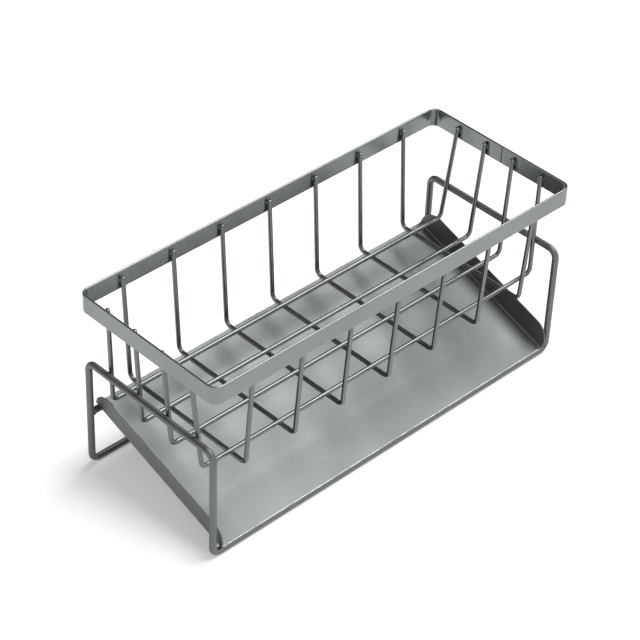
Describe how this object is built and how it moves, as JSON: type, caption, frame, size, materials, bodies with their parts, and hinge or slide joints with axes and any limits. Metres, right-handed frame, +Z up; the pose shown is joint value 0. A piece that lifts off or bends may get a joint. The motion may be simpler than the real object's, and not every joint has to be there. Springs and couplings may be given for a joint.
{
  "type": "sink caddy with drip tray",
  "caption": "Low wire basket on bent wire legs, with a flat strip rim and a loose sloping drip tray underneath that drains forward and pulls out at the front.",
  "frame": {"origin": "on the floor, under the middle of the rim", "axes": "+X along the length, towards the end with the rim's seam; -Y towards the front, where the tray drains; +Z up"},
  "size_m": [0.3, 0.12, 0.1335],
  "materials": {
    "rim_strip": "satin grey stove enamel on flat steel strip, slightly brighter along the edges",
    "basket_wire": "semi-gloss grey stove enamel on thin steel wire",
    "leg_wire": "semi-gloss grey stove enamel on thick steel wire",
    "tray_sheet": "satin grey stove enamel on folded steel sheet"
  },
  "bodies": {
    "rack": {"top_rim": "rim_strip", "cross_wire_1": "basket_wire", "cross_wire_2": "basket_wire", "cross_wire_3": "basket_wire", "cross_wire_4": "basket_wire", "cross_wire_5": "basket_wire", "cross_wire_6": "basket_wire", "cross_wire_7": "basket_wire", "long_wire_1": "basket_wire", "long_wire_2": "basket_wire", "long_wire_3": "basket_wire", "long_wire_4": "basket_wire", "leg_frame": "leg_wire", "tray_rest_bar": "leg_wire"},
    "tray": {"drip_tray": "tray_sheet"}
  },
  "joints": [
    {"name": "tray_slide", "type": "slide", "parent": "rack", "child": "tray", "axis": [0, -1, 0], "range_m": [0, 0.125]}
  ]
}
